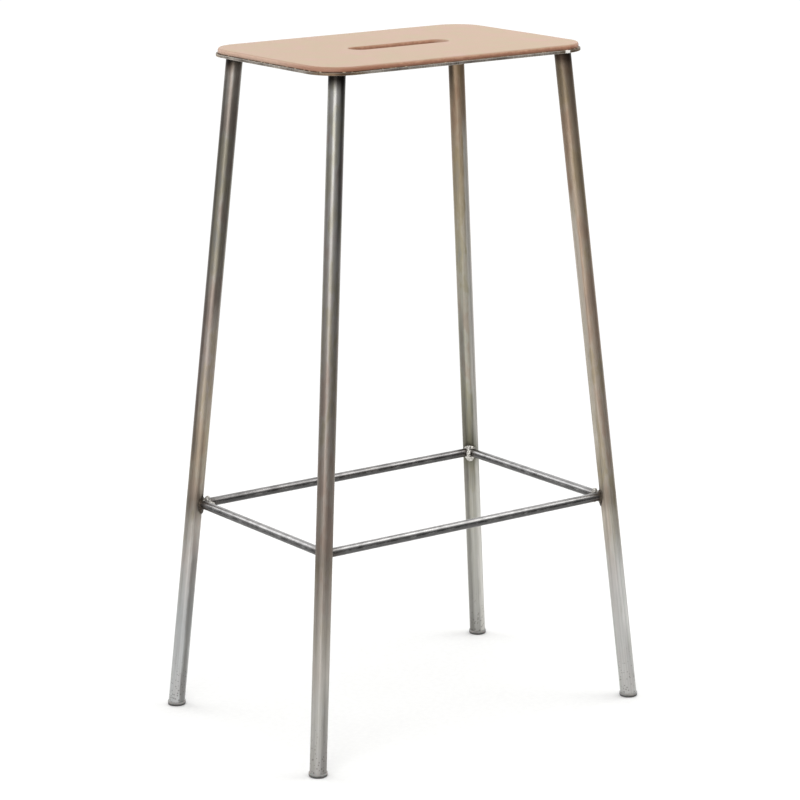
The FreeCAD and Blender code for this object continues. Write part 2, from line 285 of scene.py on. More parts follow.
def pad_edge_section(arris_high, arris_deep):
    """A cut edge of the pad from its underside up to its top, as (distance in from the cut, height)."""
    low, high = PAD_LOW.z, PAD_HIGH.z
    section = []
    for step in range(4):
        angle = step / 3 * math.pi / 2
        section.append((PAD_BOTTOM_ROUND * (1 - math.sin(angle)),
                        low + PAD_BOTTOM_ROUND * (1 - math.cos(angle))))
    wall = high - arris_high - low - PAD_BOTTOM_ROUND
    for step in range(1, 4):
        section.append((0.0, low + PAD_BOTTOM_ROUND + wall * step / 4))
    for step in range(11):
        angle = step / 10 * math.pi / 2
        section.append((arris_deep * (1 - math.cos(angle)), high - arris_high * (1 - math.sin(angle))))
    return section


def pad_rings():
    """The pad's rings from the outer edge's underside, over the top, down the slot's edge and back below.
    Each is (0 at the slot to 1 at the edge, distance in from the cut, height)."""
    across, across_below = 26, 6
    rings = [(1.0, inset, height) for inset, height in pad_edge_section(ARRIS_HIGH, ARRIS_DEEP)]
    for step in range(1, across):
        share = 1 - step / across
        rings.append((share, SLOT_ARRIS_DEEP + (ARRIS_DEEP - SLOT_ARRIS_DEEP) * share, PAD_HIGH.z))
    slot_edge = pad_edge_section(SLOT_ARRIS_HIGH, SLOT_ARRIS_DEEP)
    rings += [(0.0, inset, height) for inset, height in reversed(slot_edge)]
    rings += [(step / across_below, PAD_BOTTOM_ROUND, PAD_LOW.z) for step in range(1, across_below)]
    return rings


def leather_pad():
    """The pad with its hand slot: one closed skin of rings round the slot, with softly waved top and edge."""
    around = 480
    rings = pad_rings()
    points = []
    for share, inset, height in rings:
        for step in range(around):
            turn = 4 * step / around
            edge, away = outline(PAD_HIGH.x, PAD_HIGH.y, PAD_CORNER, turn)
            hole, out_of_hole = outline(SLOT_HALF_LENGTH, SLOT_HALF_WIDTH, SLOT_HALF_WIDTH, turn)
            at_edge = edge - away * inset
            at_hole = hole + out_of_hole * inset
            point = at_hole.lerp(at_edge, share)
            rise = (height - PAD_LOW.z) / (PAD_HIGH.z - PAD_LOW.z)
            if share in (0.0, 1.0):
                wander = noise.noise(point / CUT_WANDER_LENGTH) * CUT_WANDER
                point += (away * share - out_of_hole * (1 - share)) * (wander - CUT_WANDER)
            wave = (noise.noise(point / PAD_WAVE_LENGTH) - 1) * PAD_WAVE
            point.z = height + wave * rise
            points.append(point)
    faces = []
    for ring in range(len(rings)):
        after = (ring + 1) % len(rings)
        for step in range(around):
            beside = (step + 1) % around
            faces.append((ring * around + step, ring * around + beside,
                          after * around + beside, after * around + step))
    mesh = bpy.data.meshes.new("leather_pad")
    mesh.from_pydata(points, [], faces)
    return mesh


def cut_edge_colour(tree, place, facing, fibres):
    """The leather's cut edge: darker from the arris down to the glue, which is painted shade, with its fibre
    layers lying flat.
    """
    height = along(tree, place, "Z")
    # Painted shade: the edge is laid darker from the arris down towards the plate.
    depth = mapped(tree, height, PAD_HIGH.z - 1 * MM, PAD_LOW.z + 1 * MM)
    layer_tone = mapped(tree, fibres, 0.3, 0.7, 0.18, -0.18)
    rubbed = clouds(tree, place, 7, 5.0, 0.7)
    rubbed_tone = mapped(tree, rubbed, 0.35, 0.65, 0.3, -0.3, clamp=False)
    painted_shade_fibres_and_rubbing = maths(tree, "ADD", maths(tree, "ADD", depth, layer_tone), rubbed_tone)
    edge = coloured(tree, painted_shade_fibres_and_rubbing, (0.0, "#C79B80"), (0.5, "#AD7F65"), (1.0, "#996A55"))
    # The left-facing edge is laid paler: partly its own paler tone, partly painted light from the left.
    paler_tone_and_painted_light = mapped(tree, along(tree, facing, "X"), -0.3, -1.0, 0.0, 0.55)
    edge = laid(tree, edge, "#D6BDA9", paler_tone_and_painted_light)
    # The arris itself is creased darker.
    creased = mapped(tree, along(tree, facing, "Z"), 0.3, 0.6, 0.0, 0.5)
    return laid(tree, edge, "#97664F", creased)


def vegetable_tanned_leather():
    """Natural vegetable-tanned leather, undyed: a pale matt grain side with faint blotches, fine pores and
    creases, and a cut edge burnished to a darker red-brown, with its fibre layers lying flat."""
    made, tree, shader = surface("natural_vegetable_tanned_leather", Roughness=0.5, IOR=1.45)
    place = add(tree, "TexCoord", out="Object")
    facing = add(tree, "NewGeometry", out="Normal")
    level = along(tree, facing, "Z")

    blotch = clouds(tree, place, 22, 5.0, 0.6)
    grain = coloured(tree, blotch, (0.32, "#BAA486"), (0.5, "#BFA48B"), (0.68, "#C4A494"))
    # Pores are about 0.3 mm apart on the real hide; they are drawn at 1.2 mm, which is as fine as shows.
    pores = cells(tree, place, 1.2)
    pored = laid(tree, grain, mapped(tree, pores, 0.0, 0.35, 0.93, 1.0), how="MULTIPLY")

    # The fibre layers are about 0.4 mm thick, drawn twice as thick.
    layered = add(tree, "Mapping", {"Vector": place, "Scale": (0.07, 0.07, 1.0)})
    fibres = clouds(tree, layered, 0.8, 3.0, 0.6)
    edge = cut_edge_colour(tree, place, facing, fibres)
    burnish = mapped(tree, level, 0.3, 0.94, 1.0, 0.0)
    # The front left corner was burnished hardest, right up over the arris.
    corner = Vector((PAD_LOW.x, PAD_LOW.y, PAD_HIGH.z))
    hardest = mapped(tree, between(tree, "DISTANCE", place, corner), 45 * MM, 100 * MM, 0.75, 0.0)
    over_arris = mapped(tree, level, 0.8, 0.985, 1.0, 0.0)
    hard_burnish = maths(tree, "MULTIPLY", hardest, over_arris)
    burnish = maths(tree, "MAXIMUM", burnish, hard_burnish)
    edge = laid(tree, edge, "#A06E56", hard_burnish)

    gloss = mapped(tree, blotch, 0.3, 0.7, 0.46, 0.56)
    edge_gloss = mapped(tree, burnish, 0.0, 1.0, 0.0, -0.08)
    creases = clouds(tree, place, 4.5, 5.0, 0.62)
    pore_relief = relief(tree, pores, 0.22, 0.12)
    crease_relief = relief(tree, creases, 0.3, 0.25, over=pore_relief)
    feed(tree, shader, Base_Color=laid(tree, pored, edge, burnish),
         Roughness=maths(tree, "ADD", gloss, edge_gloss),
         Normal=relief(tree, fibres, burnish, 0.12, over=crease_relief))
    return made


# ---------------------------------------------------------------- glue between leather and plate

GLUE_HEIGHT = (PAD_LOW.z + PLATE_HIGH.z) / 2


def rubber_cement():
    """Brown rubber-based contact cement: a dull, slightly grainy line under the leather, dark at the left end
    and wiped paler along the rest."""
    made, tree, shader = surface("brown_contact_cement", Roughness=0.7, IOR=1.52)
    place = add(tree, "TexCoord", out="Object")
    lumps = clouds(tree, place, 3, 4.0)
    dark = coloured(tree, lumps, (0.3, "#5A4536"), (0.55, "#7E6650"), (0.75, "#A8947C"))
    wiped = mapped(tree, along(tree, place, "X"), -130 * MM, -50 * MM, 0.0, 0.75)
    feed(tree, shader, Base_Color=laid(tree, dark, "#C8A88D", wiped), Normal=relief(tree, lumps, 0.5, 0.2))
    return made


def dried_cement():
    """The same cement where it squeezed out and dried: pale, rubbery crumbs that catch the light."""
    made, tree, shader = surface("dried_contact_cement", Roughness=0.45, IOR=1.52)
    place = add(tree, "TexCoord", out="Object")
    lumps = clouds(tree, place, 2, 3.0)
    feed(tree, shader, Base_Color=coloured(tree, lumps, (0.35, "#B59A78"), (0.65, "#E2D3BA")),
         Normal=relief(tree, lumps, 0.4, 0.1))
    return made


def squeezed_cement():
    """A thin roll of cement pressed out of the joint all round, nearly as far as the leather's edge."""
    around, section = 900, 8
    points, faces = [], []
    for step in range(around):
        edge, away = outline(PAD_HIGH.x, PAD_HIGH.y, PAD_CORNER, 4 * step / around)
        swell = noise.noise(edge / (5 * MM)) + 0.5 * noise.noise(edge / (1.6 * MM))
        middle_line = edge - away * (0.75 - 0.3 * swell) * MM
        for side in range(section):
            angle = 2 * math.pi * side / section
            lift = math.sin(angle) * (0.34 + 0.06 * swell) * MM
            points.append(middle_line + away * math.cos(angle) * 0.4 * MM + UP * (GLUE_HEIGHT + lift))
            nearby, beside = step * section + side, step * section + (side + 1) % section
            after = section if step < around - 1 else section - around * section
            faces.append((nearby, nearby + after, beside + after, beside))
    mesh = bpy.data.meshes.new("squeezed_cement")
    mesh.from_pydata(points, [], faces)
    return mesh


def cement_crumbs():
    """Crumbs of cement along the joint, unevenly spaced, each a small lump of its own shape."""
    luck = random.Random(41)
    lumps = bmesh.new()
    for _ in range(84):
        edge, away = outline(PAD_HIGH.x, PAD_HIGH.y, PAD_CORNER, luck.uniform(0, 4))
        size = luck.uniform(0.3, 0.8) * MM
        stretch = luck.uniform(1.2, 2.6)
        lie = away.to_track_quat("Y", "Z").to_matrix().to_4x4()
        place = Matrix.Translation(edge + away * 0.15 * MM + UP * (GLUE_HEIGHT - UP.dot(edge)))
        shape = Matrix.Diagonal((size * stretch, size * 0.8, size * 0.7, 1))
        lump = bmesh.ops.create_icosphere(lumps, subdivisions=2, radius=1.0, matrix=place @ lie @ shape)
        for vertex in lump["verts"]:
            vertex.co += noise.noise_vector(vertex.co / (0.7 * MM)) * size * 0.25
    mesh = bpy.data.meshes.new("cement_crumbs")
    lumps.to_mesh(mesh)
    lumps.free()
    return mesh


# ---------------------------------------------------------------- raw steel

def streaked(tree, shader, lengthwise, colour, dullness, gloss, streak=1.6, streak_length=130):
    """Adds the marks of drawing and wiping that run along a bar or tube: in colour, in gloss and as fine
    grooves. Real draw lines are about 0.1 mm wide; they are drawn as coarse as they need to show."""
    stretched = add(tree, "Mapping", {"Vector": lengthwise, "Scale": (1.0, 1.0, streak / streak_length)})
    lines = clouds(tree, stretched, streak, 4.0, 0.65)
    drawn_out = add(tree, "Mapping", {"Vector": lengthwise, "Scale": (1.0, 1.0, 0.03)})
    hair = clouds(tree, drawn_out, 0.5, 2.0)
    line_tone = coloured(tree, lines, (0.25, "#D9D9D9"), (0.5, "#F2F2F2"), (0.75, "#FFFFFF"))
    shine = mapped(tree, lines, 0.3, 0.7, gloss[1], gloss[0])
    grooves = relief(tree, hair, 0.18, 0.05)
    feed(tree, shader, Base_Color=laid(tree, colour, line_tone, how="MULTIPLY"),
         Roughness=maths(tree, "ADD", shine, dullness), Normal=relief(tree, lines, 0.2, 0.12, over=grooves))


# How each leg looks, with heights in mm.
# shades: its colours from the floor up, bare metal low down, tinted by heat and handling above, and black at
# the top.
# dullness: what wear adds to its roughness, low down and high up.
# haze: the tint that heat left round the rods' weld. soot: how black it is close to that weld.
# sides: strips down one side of a leg, of painted shade and painted reflection, and on the rear right leg one
# of weld haze, each as its azimuth, its lowest and highest height, its colour and its strength.
LEG_LOOKS = {
    "rear_left": {
        "shades": [(0, "#C6C7C7"), (110, "#BBBDBD"), (180, "#C4C1BD"), (249, "#A29A8F"), (319, "#B5AB98"),
                   (388, "#B3A8A1"), (527, "#A19C94"), (666, "#8F8B84"), (732, "#A5A29C"), (741, "#6A6259"),
                   (744, "#35312C"), (751, "#23201D")],
        "dullness": (0.0, -0.02), "haze": "#4F4539", "soot": 0.8,
        "sides": [(8, -50, 215, "#5E5B57", 0.62), (-98, 280, 760, "#55514D", 0.5),
                  (0, 440, 800, "#4A443D", 0.5)]},
    "front_left": {
        "shades": [(0, "#B3B1AE"), (70, "#BFBDB9"), (120, "#BAB5AE"), (225, "#948B82"), (420, "#9C958E"),
                   (560, "#A9A6A2"), (732, "#B4B3B0"), (740, "#706D6A"), (744, "#2E2B29"), (751, "#23211F")],
        "dullness": (0.06, -0.1), "haze": "#5F5245", "soot": 0.5,
        "sides": [(8, -50, 110, "#5E5B57", 0.4), (20, 560, 800, "#3E3B38", 0.5),
                  (22, 690, 800, "#1E1C1A", 0.5)]},
    "rear_right": {
        "shades": [(0, "#A6A5A2"), (40, "#B7B6B2"), (120, "#BDBCB5"), (178, "#B9B7AF"), (245, "#8A877C"),
                   (337, "#BAB8AC"), (416, "#B6B3A7"), (495, "#B8B2A4"), (574, "#AFA28F"), (735, "#8C7660"),
                   (744, "#5E4E40"), (751, "#3A2F26")],
        "dullness": (0.02, 0.02), "haze": "#6B6A5A", "soot": 0.3,
        "sides": [(-80, -50, 430, "#5E5B57", 0.5), (14, -50, 660, "#DEDCD6", 0.7),
                  (-12, 222, 284, "#6B6A5A", 0.7), (-86, 665, 800, "#3A332B", 0.8)]},
    "front_right": {
        "shades": [(0, "#C8C8C6"), (150, "#C9C8C5"), (210, "#C0BBB0"), (245, "#B4AC9F"), (300, "#B9AEA1"),
                   (520, "#B7A897"), (660, "#A69684"), (735, "#7F7263"), (742, "#4F4239"), (751, "#2B211B")],
        "dullness": (0.08, 0.03), "haze": "#5F4C3C", "soot": 0.85,
        "sides": [(-90, 270, 600, "#E0DACE", 0.6), (2, 60, 200, "#F4F4F0", 0.6),
                  (-80, 200, 262, "#E0DACE", 0.5)]},
}
STRIP_ENDS = 40 * MM


def painted_light_and_tint_strip(tree, colour, facing, patch, height, strip):
    """Lays one strip of painted shade, painted reflection or weld haze down a leg's side, with ragged sides
    and soft ends.
    """
    azimuth, lowest, highest, shade, strength = strip
    stray = mapped(tree, patch, 0.3, 0.7, -0.05, 0.05)
    turned = maths(tree, "ADD", between(tree, "DOT_PRODUCT", facing, compass(azimuth)), stray)
    on_strip = mapped(tree, turned, 0.85, 0.97, smooth=True)
    above = mapped(tree, height, lowest * MM, lowest * MM + STRIP_ENDS, 0.0, strength)
    below = mapped(tree, height, highest * MM - STRIP_ENDS, highest * MM, 1.0, 0.0)
    share = maths(tree, "MULTIPLY", on_strip, maths(tree, "MULTIPLY", above, below))
    return laid(tree, colour, shade, share)


def weld_heat(tree, colour, place, patch, corner):
    """Lays the haze and the soot of the rods' weld over a leg's colour. Returns it and the soot's share."""
    looks = LEG_LOOKS[corner]
    drift = mapped(tree, patch, 0.3, 0.7, -4 * MM, 4 * MM)
    from_weld = maths(tree, "ADD", between(tree, "DISTANCE", place, rod_corner(corner)), drift)
    haze = mapped(tree, from_weld, 8 * MM, 26 * MM, 0.4, 0.0, smooth=True)
    soot = mapped(tree, from_weld, 6.5 * MM, 12 * MM, looks["soot"], 0.0, smooth=True)
    return laid(tree, laid(tree, colour, looks["haze"], haze), "#1D1815", soot), soot


def raw_steel_tube(corner):
    """Cold-drawn mild steel tube left raw, wiped after welding: satin grey with long streaks, brown, olive
    and rosy temper colours in patches, and burnt black where it was welded."""
    made, tree, shader = surface("raw_drawn_steel_tube_" + corner, Metallic=1.0, Roughness=0.35)
    looks = LEG_LOOKS[corner]
    foot, axis = leg_axis(corner)
    lean = UP.rotation_difference(axis).to_euler()
    place = add(tree, "TexCoord", out="Object")
    lengthwise = add(tree, "Mapping", {"Vector": place, "Location": foot, "Rotation": lean},
                     vector_type="TEXTURE")

    # Each leg's patches come from another metre of the noise, drawn out along the tube.
    elsewhere = add(tree, "Mapping", {"Vector": lengthwise, "Location": (0, 0, CORNERS.index(corner)),
                                      "Scale": (1.0, 1.0, 0.3)})
    patch = clouds(tree, elsewhere, 16, 5.0, 0.6)
    height = along(tree, place, "Z")
    ragged_height = maths(tree, "ADD", height, mapped(tree, patch, 0.0, 1.0, -9 * MM, 9 * MM))
    tube_top = leg_end(corner, top=True).z
    shade = coloured(tree, mapped(tree, ragged_height, 0.0, tube_top),
                     *[(up * MM / tube_top, colour) for up, colour in looks["shades"]])
    temper = coloured(tree, patch, (0.3, "#D5DADC"), (0.42, "#E9E3C6"), (0.5, "#FFFFFF"), (0.6, "#F0DAD0"),
                      (0.72, "#D3C7CC"))
    tempered = mapped(tree, ragged_height, 130 * MM, 260 * MM, 0.12, 0.55)
    colour = laid(tree, shade, temper, tempered, how="MULTIPLY")
    facing = add(tree, "NewGeometry", out="Normal")
    # Strips of painted shade and painted reflection down the legs' sides; one on the rear right leg is weld
    # haze.
    for strip in looks["sides"]:
        colour = painted_light_and_tint_strip(tree, colour, facing, patch, ragged_height, strip)
    colour, soot = weld_heat(tree, colour, place, patch, corner)

    # Specks of scale and rust, about 1 mm, crowded near the foot.
    specks_reach = mapped(tree, ragged_height, 5 * MM, 70 * MM, 0.34, 0.06)
    specked = maths(tree, "LESS_THAN", cells(tree, place, 3.4), specks_reach)
    colour = laid(tree, colour, "#3A322B", maths(tree, "MULTIPLY", specked, 0.4))

    worn = mapped(tree, height, 300 * MM, 640 * MM, *looks["dullness"])
    dull = maths(tree, "MULTIPLY_ADD", soot, 0.25, worn)
    streaked(tree, shader, lengthwise, colour, dull, gloss=(0.34, 0.48))
    return made


# Each rod's colours, from its dull scuffs to its brightest wear and the warm film over it.
ROD_SHADES = {
    "front": ["#8F8E8D", "#A9A8A7", "#B9B8B7", "#A29F9A"],
    "rear": ["#777575", "#8E8C8B", "#A2A09F", "#8B8783"],
    "left": ["#8C8B8B", "#A5A4A4", "#B5B4B4", "#9C9A96"],
    "right": ["#8C8B8B", "#A5A4A4", "#B5B4B4", "#9C9A96"],
}


def bright_drawn_rod(side):
    """Bright-drawn round steel bar: greyer and shinier than the tube, with scuffs where feet rest and a burnt
    brown stretch at each welded end."""
    name = "footrest_" + side
    made, tree, shader = surface("bright_drawn_steel_" + name, Metallic=1.0, Roughness=0.3)
    along_x = side in ("front", "rear")
    place = add(tree, "TexCoord", out="Object")
    turn = (0, math.pi / 2, 0) if along_x else (math.pi / 2, 0, 0)
    lengthwise = add(tree, "Mapping", {"Vector": place, "Rotation": turn})
    scuff = clouds(tree, place, 14, 6.0, 0.65)
    shade = coloured(tree, scuff, *zip((0.32, 0.48, 0.6, 0.72), ROD_SHADES[side]))

    # The rods' undersides are laid dark grey with ragged bounds: painted shade on the side turned to the
    # floor.
    level = along(tree, add(tree, "NewGeometry", out="Normal"), "Z")
    ragged_level = maths(tree, "ADD", level, mapped(tree, scuff, 0.3, 0.7, -0.22, 0.22))
    painted_underside_shade = mapped(tree, ragged_level, -0.05, 0.3, 0.88, 0.0, smooth=True)

    low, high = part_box(name)
    reach = (high.x - low.x) / 2 if along_x else (high.y - low.y) / 2
    from_middle = maths(tree, "ABSOLUTE", along(tree, place, "X" if along_x else "Y"))
    ragged = maths(tree, "ADD", from_middle, mapped(tree, scuff, 0.0, 1.0, -8 * MM, 8 * MM))
    burnt = mapped(tree, ragged, reach - 26 * MM, reach - 6 * MM, 0.0, 0.5, smooth=True)
    colour = laid(tree, laid(tree, shade, "#4C4B4B", painted_underside_shade), "#4A3E34", burnt)
    streaked(tree, shader, lengthwise, colour, maths(tree, "MULTIPLY", burnt, 0.12), gloss=(0.22, 0.34),
             streak=1.2, streak_length=70)
    return made


def leg_heat(tree, place, mottle):
    """How far the plate is from the legs' welds: 0 close to one and 1 where their heat left no colour."""
    nearest = None
    for corner in CORNERS:
        apart = between(tree, "DISTANCE", place, leg_end(corner, top=True))
        nearest = apart if nearest is None else maths(tree, "MINIMUM", nearest, apart)
    ragged = maths(tree, "ADD", nearest, mapped(tree, mottle, 0.0, 1.0, -4 * MM, 4 * MM))
    return mapped(tree, ragged, 9 * MM, 34 * MM)


def laser_cut_steel_plate():
    """Cold-rolled steel sheet cut by laser: a mottled grey face with rings of temper colour round each leg's
    weld, and a cut edge with upright striations and bright, handled arrises."""
    made, tree, shader = surface("laser_cut_raw_steel_plate", Metallic=1.0, Roughness=0.4)
    place = add(tree, "TexCoord", out="Object")
    levelness = maths(tree, "ABSOLUTE", along(tree, add(tree, "NewGeometry", out="Normal"), "Z"))
    mottle = clouds(tree, place, 12, 6.0, 0.6)
    cool = leg_heat(tree, place, mottle)

    rings = coloured(tree, cool, (0.0, "#2A2724"), (0.14, "#3A3A44"), (0.26, "#5C4A55"), (0.4, "#8A6A48"),
                     (0.6, "#A5936F"), (1.0, "#FFFFFF"))
    face = coloured(tree, mottle, (0.3, "#7E7A74"), (0.5, "#9A9691"), (0.7, "#ABA69E"))
    face = laid(tree, face, rings, how="MULTIPLY")

    # Laser striations are about 0.2 mm apart; they are drawn at 0.9 mm.
    upright = add(tree, "Mapping", {"Vector": place, "Scale": (1.0, 1.0, 0.12)})
    striations = clouds(tree, upright, 0.9, 2.0)
    patches = clouds(tree, place, 20, 3.0)
    edge = coloured(tree, patches, (0.35, "#8E867F"), (0.5, "#ADA59D"), (0.65, "#CFC8BE"))
    edge = laid(tree, edge, coloured(tree, striations, (0.3, "#C6C1BA"), (0.6, "#FFFFFF")), how="MULTIPLY")
    browned = coloured(tree, cool, (0.3, "#8E7560"), (0.7, "#D2C3B0"), (1.0, "#FFFFFF"))
    edge = laid(tree, edge, browned, how="MULTIPLY")
    edge = laid(tree, edge, "#D5D0C8", mapped(tree, levelness, 0.15, 0.5, 0.0, 0.5))
    on_face = mapped(tree, levelness, 0.6, 0.9)
    colour = laid(tree, edge, face, on_face)

    # A bright spot on the front edge, near the right corner, is a painted highlight: near-white and matt.
    painted_highlight_spot = Vector((PLATE_HIGH.x - 38 * MM, PLATE_LOW.y, PLATE_HIGH.z - 1.5 * MM))
    painted_highlight = mapped(tree, between(tree, "DISTANCE", place, painted_highlight_spot), 2.6 * MM, 4.4 * MM, 1.0, 0.0)
    shine = mapped(tree, mottle, 0.3, 0.7, 0.46, 0.3)
    roughness_off_highlight = add(tree, "Mix", {0: on_face, 2: 0.5, 3: shine}, data_type="FLOAT")
    feed(tree, shader, Base_Color=laid(tree, colour, "#FAF9F6", painted_highlight),
         Roughness=add(tree, "Mix", {0: painted_highlight, 2: roughness_off_highlight, 3: 0.9}, data_type="FLOAT"),
         Normal=relief(tree, striations, 0.35, 0.1))
    return made


# ---------------------------------------------------------------- welds

RIPPLE = 0.9 * MM
LEG_BEAD = 1.35 * MM
ROD_BEAD = 2.1 * MM
WELD_GRID = 0.42 * MM
WELD_FLOW_STEPS = 7


def leg_top_run(corner):
    """The puddles of the weld round a leg's top: where the tube meets the plate, a little outside it."""
    foot, axis = leg_axis(corner)
    top = leg_end(corner, top=True)
    steps = round(2 * math.pi * TUBE_RADIUS / RIPPLE)
    run = []
    for step in range(steps):
        angle = 2 * math.pi * step / steps
        away = Vector((math.cos(angle), math.sin(angle), 0))
        reach = TUBE_RADIUS / math.sqrt(1 - (away.dot(axis)) ** 2)
        run.append((top + away * (reach + 0.35 * MM) - UP * 0.35 * MM, LEG_BEAD))
    return run


def rod_on_leg_run(corner, along_x):
    """The puddles where one rod's surface meets the leg: thick in the seam and thinner where they wet the rod
    and the leg, so that the rod runs into the leg in a hollow curve."""
    side_x, side_y = outward(corner)
    centre = rod_corner(corner)
    foot, axis = leg_axis(corner)
    way = Vector((-side_x, 0, 0)) if along_x else Vector((0, -side_y, 0))
    across = Vector((0, side_y, 0)) if along_x else Vector((side_x, 0, 0))
    steps = round(2 * math.pi * ROD_RADIUS / RIPPLE)
    run = []
    for step in range(steps):
        angle = 2 * math.pi * step / steps
        on_rod = across * math.cos(angle) + UP * math.sin(angle)
        start = centre + on_rod * ROD_RADIUS
        # The line on the rod's surface leaves the tube where its distance from the leg's axis is the radius.
        apart = (start - foot).cross(axis)
        slope = way.cross(axis)
        a, b, c = slope.dot(slope), 2 * apart.dot(slope), apart.dot(apart) - TUBE_RADIUS ** 2
        inside = b * b - 4 * a * c
        if inside < 0:
            continue
        reach = (-b + math.sqrt(inside)) / (2 * a)
        if reach > -ROD_RADIUS * math.cos(angle):
            seam = start + way * reach
            off_leg = from_leg(seam, corner)[0]
            on_leg = (on_rod - off_leg * on_rod.dot(off_leg)).normalized()
            size = ROD_BEAD * (1 - 0.35 * max(0.0, math.cos(angle)))
            run.append((seam, size))
            run.append((seam + way * size * 1.2 - on_rod * 0.25 * size, size * 0.62))
            run.append((seam + on_leg * size * 0.9 - off_leg * 0.3 * size, size * 0.6))
    return run


def mitre_run(corner):
    """The puddles on the seam of the two rods, outside the leg, and the lumpy filler in the angle between
    them, which ends in a low web."""
    side_x, side_y = outward(corner)
    centre = rod_corner(corner)
    inwards = Vector((-side_x, -side_y, 0))
    seam_steps = 24
    run = []
    for step in range(seam_steps):
        angle = 2 * math.pi * step / seam_steps
        point = centre + inwards * ROD_RADIUS * math.cos(angle) + UP * ROD_RADIUS * math.sin(angle)
        if from_leg(point, corner)[1] > TUBE_RADIUS - 0.5 * MM:
            run.append((point - UP * math.copysign(0.5 * MM, math.sin(angle)), ROD_BEAD * 0.75))
    for level in range(-6, 8):
        lean_in = ROD_RADIUS + 1.4 * MM - 0.2 * abs(level) * MM
        lumpy = ROD_BEAD * (1.35 if level % 3 else 1.0)
        run.append((centre + inwards * lean_in + UP * level * 1.0 * MM, lumpy))
    for step in range(5):
        run.append((centre + inwards * (ROD_RADIUS + (2.2 + 0.6 * step) * MM) + UP * 0.2 * MM,
                    ROD_BEAD * (1.3 - 0.06 * step)))
    return run


def under_rods_run(corner):
    """The puddles of the weld that runs down the leg under the rods, getting thinner and narrower."""
    centre = rod_corner(corner)
    run = []
    for step in range(7):
        level = centre - UP * (ROD_RADIUS + step * RIPPLE)
        middle_way = from_leg(level, corner)[0]
        for aside in (-1, 0, 1):
            beside = level + middle_way.cross(UP) * aside * (5 - 0.5 * step) * MM
            away, reach = from_leg(beside, corner)
            seam = beside + away * (TUBE_RADIUS - 0.2 * MM - reach)
            run.append((seam, ROD_BEAD * (1.1 - 0.05 * step) * (0.9 if aside else 1.0)))
    return run


def weld_beads(name, run, seed):
    """One skin over a string of puddles, each a ripple of the bead with a size of its own."""
    luck = random.Random(seed)
    puddles = bmesh.new()
    for point, size in run:
        wide = size * luck.uniform(0.88, 1.12)
        place = Matrix.Translation(point + Vector([luck.gauss(0, 0.12) * MM for _ in range(3)]))
        shape = Matrix.Diagonal((wide, wide, wide * luck.uniform(0.88, 1.0), 1))
        bmesh.ops.create_icosphere(puddles, subdivisions=3, radius=1.0, matrix=place @ shape)
    mesh = bpy.data.meshes.new(name)
    puddles.to_mesh(mesh)
    puddles.free()
    rough = bpy.data.objects.new(name + "_puddles", mesh)
    bpy.context.scene.collection.objects.link(rough)
    skin = rough.modifiers.new("skin", "REMESH")
    skin.mode = "VOXEL"
    skin.voxel_size = WELD_GRID
    flow = rough.modifiers.new("flow", "SMOOTH")
    flow.factor = 0.5
    flow.iterations = WELD_FLOW_STEPS
    made = bpy.data.meshes.new_from_object(rough.evaluated_get(bpy.context.evaluated_depsgraph_get()))
    made.name = name
    bpy.data.objects.remove(rough)
    bpy.data.meshes.remove(mesh)
    return made


def weld_metal(name, clean, burnt, brushed_within=None):
    """Steel weld metal as it froze: rounded ripples, dark with oxide. It can be brushed bright from a line so
    many mm inside the rods' crossing, while the sides of the weld stay sooty."""
    made, tree, shader = surface(name, Metallic=1.0, Roughness=0.4)
    place = add(tree, "TexCoord", out="Object")
    flakes = clouds(tree, place, 2.6, 4.0, 0.6)
    colour = coloured(tree, flakes, (0.34, burnt), (0.5, clean), (0.75, clean))
    if brushed_within is not None:
        # |x| + |y| falls towards the inside of the stool at every corner alike.
        outwards = add(tree, "VectorMath", {0: place}, operation="ABSOLUTE")
        inwards = between(tree, "DOT_PRODUCT", outwards, (1, 1, 0))
        line = ROD_X + ROD_Y - brushed_within * MM
        brushed = mapped(tree, inwards, line, line - 4 * MM, smooth=True)
        bright = coloured(tree, flakes, (0.34, "#8A867F"), (0.5, "#CFCCC6"))
        colour = laid(tree, colour, bright, brushed)
    pits = clouds(tree, place, 0.7, 2.0)
    feed(tree, shader, Base_Color=colour, Roughness=mapped(tree, flakes, 0.3, 0.6, 0.6, 0.3),
         Normal=relief(tree, pits, 0.4, 0.1))
    return made


# ---------------------------------------------------------------- glides

def moulded_nylon():
    """Moulded nylon, undyed: a cloudy grey plastic with a soft shine, darker towards the floor
    and scuffed pale on its sole."""
    made, tree, shader = surface("moulded_grey_nylon", Roughness=0.42, IOR=1.53, Subsurface_Weight=0.15,
                                 Subsurface_Scale=1.5 * MM)
    place = add(tree, "TexCoord", out="Object")
    smudge = clouds(tree, place, 3.5, 4.0)
    ragged = maths(tree, "ADD", along(tree, place, "Z"), mapped(tree, smudge, 0.0, 1.0, -0.9 * MM, 0.9 * MM))
    rim = coloured(tree, mapped(tree, ragged, 0.0, 4.2 * MM), (0.0, "#363533"), (0.45, "#4E4D4A"),
                   (0.72, "#83827F"), (1.0, "#A3A29F"))
    scratch = clouds(tree, place, 0.9, 3.0)
    sole = coloured(tree, scratch, (0.35, "#77756F"), (0.6, "#A8A6A0"))
    on_sole = mapped(tree, along(tree, add(tree, "NewGeometry", out="Normal"), "Z"), -0.9, -0.98)
    feed(tree, shader, Base_Color=laid(tree, rim, sole, on_sole),
         Roughness=mapped(tree, scratch, 0.0, 1.0, 0.34, 0.56), Normal=relief(tree, scratch, 0.25, 0.1))
    return made


# ---------------------------------------------------------------- build the stool

pad = new_piece("leather_pad", leather_pad(), vegetable_tanned_leather(), ["seat_leather"])
cement = rubber_cement()
finish_with("seat_adhesive", cement)
new_piece("squeezed_cement", squeezed_cement(), cement)
new_piece("cement_crumbs", cement_crumbs(), dried_cement())
finish_with("seat_plate", laser_cut_steel_plate())

